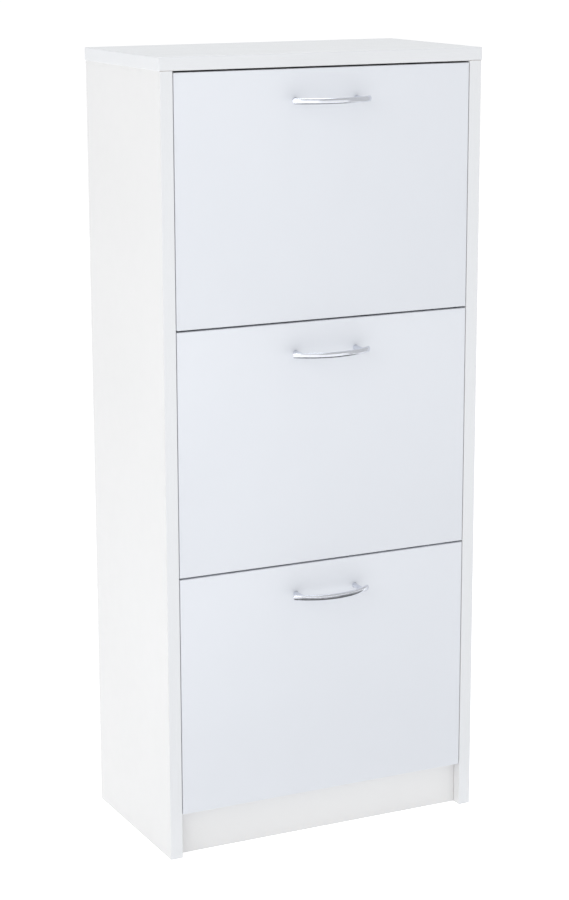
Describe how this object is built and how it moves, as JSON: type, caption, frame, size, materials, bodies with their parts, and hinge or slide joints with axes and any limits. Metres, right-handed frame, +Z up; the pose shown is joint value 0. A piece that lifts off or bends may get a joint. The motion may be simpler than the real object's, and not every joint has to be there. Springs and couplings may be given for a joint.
{
  "type": "shoe cabinet",
  "caption": "Tall narrow white shoe cabinet: flap fronts with bow handles tilt out on hidden pivots and carry a shoe insert behind each flap.",
  "frame": {"origin": "on the floor, at the middle of the overall width and of the overall depth, handles included", "axes": "+Z up, +X to the right of a viewer facing the flaps, flap fronts look towards -Y"},
  "size_m": [0.504, 0.312, 1.15],
  "materials": {
    "carcass_board": "satin",
    "flap_board": "satin",
    "back_board": "matte",
    "insert_board": "satin",
    "cheek_plastic": "matte",
    "bush_plastic": "satin",
    "handle_metal": "satin",
    "screw_steel": "satin"
  },
  "bodies": {
    "carcass": {"side_panel_left": "carcass_board", "side_panel_right": "carcass_board", "top_panel": "carcass_board", "plinth": "carcass_board", "bottom_panel": "carcass_board", "shelf_lower": "carcass_board", "shelf_upper": "carcass_board", "back_panel": "back_board", "pivot_bush_bottom_left": "bush_plastic", "stop_peg_bottom_left": "screw_steel", "pivot_bush_bottom_right": "bush_plastic", "stop_peg_bottom_right": "screw_steel", "pivot_bush_middle_left": "bush_plastic", "stop_peg_middle_left": "screw_steel", "pivot_bush_middle_right": "bush_plastic", "stop_peg_middle_right": "screw_steel", "pivot_bush_top_left": "bush_plastic", "stop_peg_top_left": "screw_steel", "pivot_bush_top_right": "bush_plastic", "stop_peg_top_right": "screw_steel"},
    "flap_bottom": {"door_panel_bottom": "flap_board", "handle_bottom": "handle_metal", "handle_screw_bottom_left": "screw_steel", "handle_screw_bottom_right": "screw_steel", "cheek_bottom_left": "cheek_plastic", "cheek_bottom_right": "cheek_plastic", "floor_plate_bottom": "insert_board", "divider_plate_bottom": "insert_board", "rear_plate_bottom": "insert_board", "cheek_screw_bottom_left_lower": "screw_steel", "cheek_screw_bottom_left_upper": "screw_steel", "cheek_screw_bottom_right_lower": "screw_steel", "cheek_screw_bottom_right_upper": "screw_steel"},
    "flap_middle": {"door_panel_middle": "flap_board", "handle_middle": "handle_metal", "handle_screw_middle_left": "screw_steel", "handle_screw_middle_right": "screw_steel", "cheek_middle_left": "cheek_plastic", "cheek_middle_right": "cheek_plastic", "floor_plate_middle": "insert_board", "divider_plate_middle": "insert_board", "rear_plate_middle": "insert_board", "cheek_screw_middle_left_lower": "screw_steel", "cheek_screw_middle_left_upper": "screw_steel", "cheek_screw_middle_right_lower": "screw_steel", "cheek_screw_middle_right_upper": "screw_steel"},
    "flap_top": {"door_panel_top": "flap_board", "handle_top": "handle_metal", "handle_screw_top_left": "screw_steel", "handle_screw_top_right": "screw_steel", "cheek_top_left": "cheek_plastic", "cheek_top_right": "cheek_plastic", "floor_plate_top": "insert_board", "divider_plate_top": "insert_board", "rear_plate_top": "insert_board", "cheek_screw_top_left_lower": "screw_steel", "cheek_screw_top_left_upper": "screw_steel", "cheek_screw_top_right_lower": "screw_steel", "cheek_screw_top_right_upper": "screw_steel"}
  },
  "joints": [
    {"name": "flap_bottom_tilt", "type": "hinge", "parent": "carcass", "child": "flap_bottom", "pos_m": [0, -0.092, 0.1765], "axis": [1, 0, 0], "range_deg": [0, 42]},
    {"name": "flap_middle_tilt", "type": "hinge", "parent": "carcass", "child": "flap_middle", "pos_m": [0, -0.092, 0.53133], "axis": [1, 0, 0], "range_deg": [0, 42]},
    {"name": "flap_top_tilt", "type": "hinge", "parent": "carcass", "child": "flap_top", "pos_m": [0, -0.092, 0.88617], "axis": [1, 0, 0], "range_deg": [0, 42]}
  ]
}
